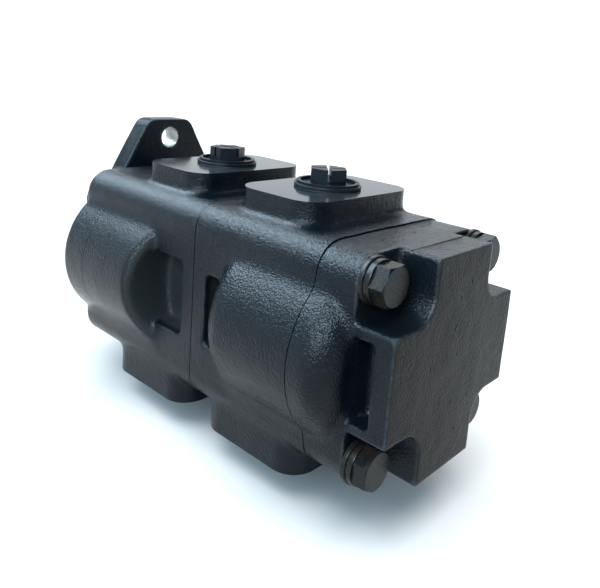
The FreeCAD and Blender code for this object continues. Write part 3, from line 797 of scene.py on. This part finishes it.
def bare_metal(name, tint):
    """Ground or turned metal."""
    m = Surface(name)
    lines = m.noise(700.0, place=m.stretch(5.0, 1.0, 1.0))
    patch = m.noise(70.0)
    base = m.mix(m.span(patch, 0.3, 0.7), rgb(*(0.8 * c for c in tint)), rgb(*tint))
    dull = m.span(lines, 0.3, 0.7, 0.2, 0.38)
    return m.set(color=base, rough=dull, metal=1.0, normal=m.bump(lines, 0.00001))


def rubber(name):
    """Black sealing rubber."""
    m = Surface(name)
    grain = m.noise(1800.0)
    base = m.mix(m.span(grain, 0.3, 0.7), rgb(0.01, 0.01, 0.01), rgb(0.022, 0.022, 0.022))
    dull = m.span(grain, 0.3, 0.7, 0.55, 0.7)
    return m.set(color=base, rough=dull, normal=m.bump(grain, 0.00002))


def pale_floor(name):
    """Even, pale, quite matt studio floor."""
    m = Surface(name)
    base = m.mix(m.span(m.noise(3.0), 0.3, 0.7), rgb(0.86, 0.86, 0.86), rgb(0.88, 0.88, 0.875))
    return m.set(color=base, rough=1.0, specular=0.0)


def paint_node(node, material):
    mesh = NODES[node].data
    if len(mesh.materials) == 0:
        mesh.materials.append(material)
    for k in range(len(mesh.materials)):
        mesh.materials[k] = material


BLUE_BLACK = ((0.0008, 0.002, 0.0034), (0.0022, 0.0034, 0.0044))
# painted reflection: the brown-black base of the rear cover's end face stands for the warm floor that face
# reflects
WARM_REFLECTION_BLACK = ((0.003, 0.0027, 0.002), (0.006, 0.0052, 0.0038))

CAST = painted_casting("cast_paint", 0.0007, 0.15, 0.14, *BLUE_BLACK)
END = painted_casting("end_paint", 0.0004, 0.2, 0.055, *WARM_REFLECTION_BLACK)
RIM = painted_casting("rim_paint", 0.0005, 0.2, 0.055, *BLUE_BLACK)
FLAT = flat_paint("machined_paint")
IRON = iron("bare_iron")
OXIDE = black_oxide("black_oxide")
PLASTIC = plastic("black_plastic")
STEEL = bare_metal("ground_steel", (0.55, 0.54, 0.52))
BRONZE = bare_metal("bearing_bronze", (0.55, 0.36, 0.16))
ALUMINIUM = bare_metal("aluminium", (0.66, 0.66, 0.66))
RUBBER = rubber("seal_rubber")

# The end of a CAD node's name and its material. All others are steel.
LOOKS = {
    "bushes": BRONZE, "thrust_plate": BRONZE, "bearing_block": ALUMINIUM, "seal": RUBBER,
    "bolts": OXIDE, "washers": OXIDE, "plug": PLASTIC, "outlet_ring": RUBBER, "inlet_ring": RUBBER,
    "retaining_ring": OXIDE,
}


# --- build ---------------------------------------------------------------------

for node in NODES:
    material = STEEL
    for ending, look in LOOKS.items():
        if node.endswith(ending):
            material = look
    paint_node(node, material)

SKIN_CO, SKIN_QUAD = skin()
STRETCHES = {
    "mounting_flange": (0.0, FLANGE_X - GAPS["flange"], OPEN),
    "front_gear_housing": (FLANGE_X + GAPS["flange"], MIDDLE_X - GAPS["middle"], PAD_Z),
    "rear_gear_housing": (MIDDLE_X + GAPS["middle"], COVER_X - GAPS["cover"], PAD_Z),
    "rear_end_cover": (COVER_X + GAPS["cover"], END_X + 5.0, OPEN),
}
CASTING_LOOKS = (CAST, FLAT, IRON, END, RIM)

for node, (low_x, high_x, reach_z) in STRETCHES.items():
    piece = casting(node, SKIN_CO, SKIN_QUAD, low_x, high_x, reach_z)
    finish_mesh(piece, 40.0)
    piece.data.materials.clear()
    for look in CASTING_LOOKS:
        piece.data.materials.append(look)
    for face in piece.data.polygons:
        face.material_index = CASTING_LOOKS.index(casting_look(node, face.center / MM, face.normal))
    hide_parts(node)

for node in FASTENERS:
    softened(node, 0.3, OXIDE)
for node in PLUGS:
    softened(node, 0.25, PLASTIC)


# --- floor and room ------------------------------------------------------------

FLOOR_HALF = 60.0
corners = [(FLOOR_HALF * i, FLOOR_HALF * j, 0.0) for i, j in ((-1, -1), (1, -1), (1, 1), (-1, 1))]
floor = mesh_object("floor", corners, [(0, 1, 2, 3)])
floor.location.z = min(float(CAD_BOX[0][2]), float(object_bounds()[0][2]))
floor.data.materials.append(pale_floor("floor"))

BEHIND = (-0.64, 0.745, 0.19)
FRONT = (-0.25, -0.855, 0.453)
ROOM_TINT = rgb(0.6, 0.83, 1.0)


def studio_world(world, low, glow, backdrop, wash):
    """A dim room with a soft horizon, a bright front side and a white backdrop; the camera sees white."""
    world.use_nodes = True
    t = Tree(world.node_tree)
    place = t.tree.nodes.new("ShaderNodeTexCoord").outputs["Generated"]
    parts = t.tree.nodes.new("ShaderNodeSeparateXYZ")
    t.link(place, parts.inputs[0])

    def toward(direction):
        n = t.tree.nodes.new("ShaderNodeVectorMath")
        n.operation = "DOT_PRODUCT"
        t.link(place, n.inputs[0])
        n.inputs[1].default_value = direction
        return n.outputs["Value"]

    rise = t.span(parts.outputs["Z"], 0.05, 0.45, glow - low, 0.0)
    wall = t.span(toward(BEHIND), 0.55, 0.92, 0.0, backdrop)
    front = t.span(toward(FRONT), 0.35, 0.85, 0.0, wash)
    room = t.math("ADD", t.math("ADD", t.math("ADD", rise, front), wall), low)
    camera_ray = t.tree.nodes.new("ShaderNodeLightPath").outputs["Is Camera Ray"]
    background = t.tree.nodes["Background"]
    t.link(t.math("MAXIMUM", room, camera_ray), background.inputs["Strength"])
    tint = t.mix(t.math("MAXIMUM", wall, camera_ray), ROOM_TINT, rgb(1.0, 1.0, 1.0))
    t.link(tint, background.inputs["Color"])


scene = bpy.context.scene
scene.view_settings.view_transform = "Standard"
scene.world = bpy.data.worlds.new("studio")
studio_world(scene.world, 0.2, 0.4, 0.76, 1.7)


# --- lights --------------------------------------------------------------------

AIM = (0.14, -0.02, 0.0)


def light(name, kind, place, power, colour):
    data = bpy.data.lights.new(name, kind)
    data.energy = power
    data.color = colour
    obj = bpy.data.objects.new(name, data)
    scene.collection.objects.link(obj)
    obj.location = place
    obj.rotation_euler = (Vector(AIM) - Vector(place)).to_track_quat("-Z", "Y").to_euler()
    return obj


def softbox(name, place, size, watts, colour):
    """A large soft lamp that lights the pump and leaves the floor's even white alone."""
    obj = light(name, "AREA", place, watts, colour)
    obj.data.shape = "RECTANGLE"
    obj.data.size, obj.data.size_y = size
    obj.light_linking.receiver_collection = UNLIT


UNLIT = bpy.data.collections.new("not_lit_by_softboxes")
UNLIT.objects.link(floor)
UNLIT.collection_objects[0].light_linking.link_state = "EXCLUDE"

softbox("window", (-0.62, -0.34, 0.92), (1.0, 0.8), 58.0, (0.66, 0.85, 1.0))
softbox("front", (0.46, -0.77, 0.52), (0.4, 0.3), 20.0, (0.7, 0.87, 1.0))
softbox("far", (-0.3, 0.8, 0.9), (1.0, 0.6), 6.0, (0.85, 0.93, 1.0))
overhead = light("overhead", "SUN", (0.3, -0.4, 2.0), 3.5, (1.0, 0.985, 0.96))
overhead.data.angle = 1.0
overhead.visible_glossy = False


# --- camera --------------------------------------------------------------------

AZIMUTH, ELEVATION, ROLL = -0.722, 0.193, 0.078
TARGET = Vector((79.867, 97.633, 32.144)) * MM
DISTANCE = 0.518615

camera_data = bpy.data.cameras.new("camera")
camera_data.lens = 38.63
camera_data.sensor_width = 36.0
camera_data.shift_x = -0.0286
camera_data.shift_y = -0.1656
camera_data.clip_start = 0.01
camera = bpy.data.objects.new("camera", camera_data)
scene.collection.objects.link(camera)

back = Vector((-math.sin(AZIMUTH) * math.cos(ELEVATION), -math.cos(AZIMUTH) * math.cos(ELEVATION),
               math.sin(ELEVATION)))
right = (-back).cross(Vector((0, 0, 1))).normalized()
up = right.cross(-back)
right, up = math.cos(ROLL) * right + math.sin(ROLL) * up, math.cos(ROLL) * up - math.sin(ROLL) * right
stand = TARGET + DISTANCE * back
camera.matrix_world = Matrix((
    (right.x, up.x, back.x, stand.x),
    (right.y, up.y, back.y, stand.y),
    (right.z, up.z, back.z, stand.z),
    (0, 0, 0, 1)))
scene.camera = camera
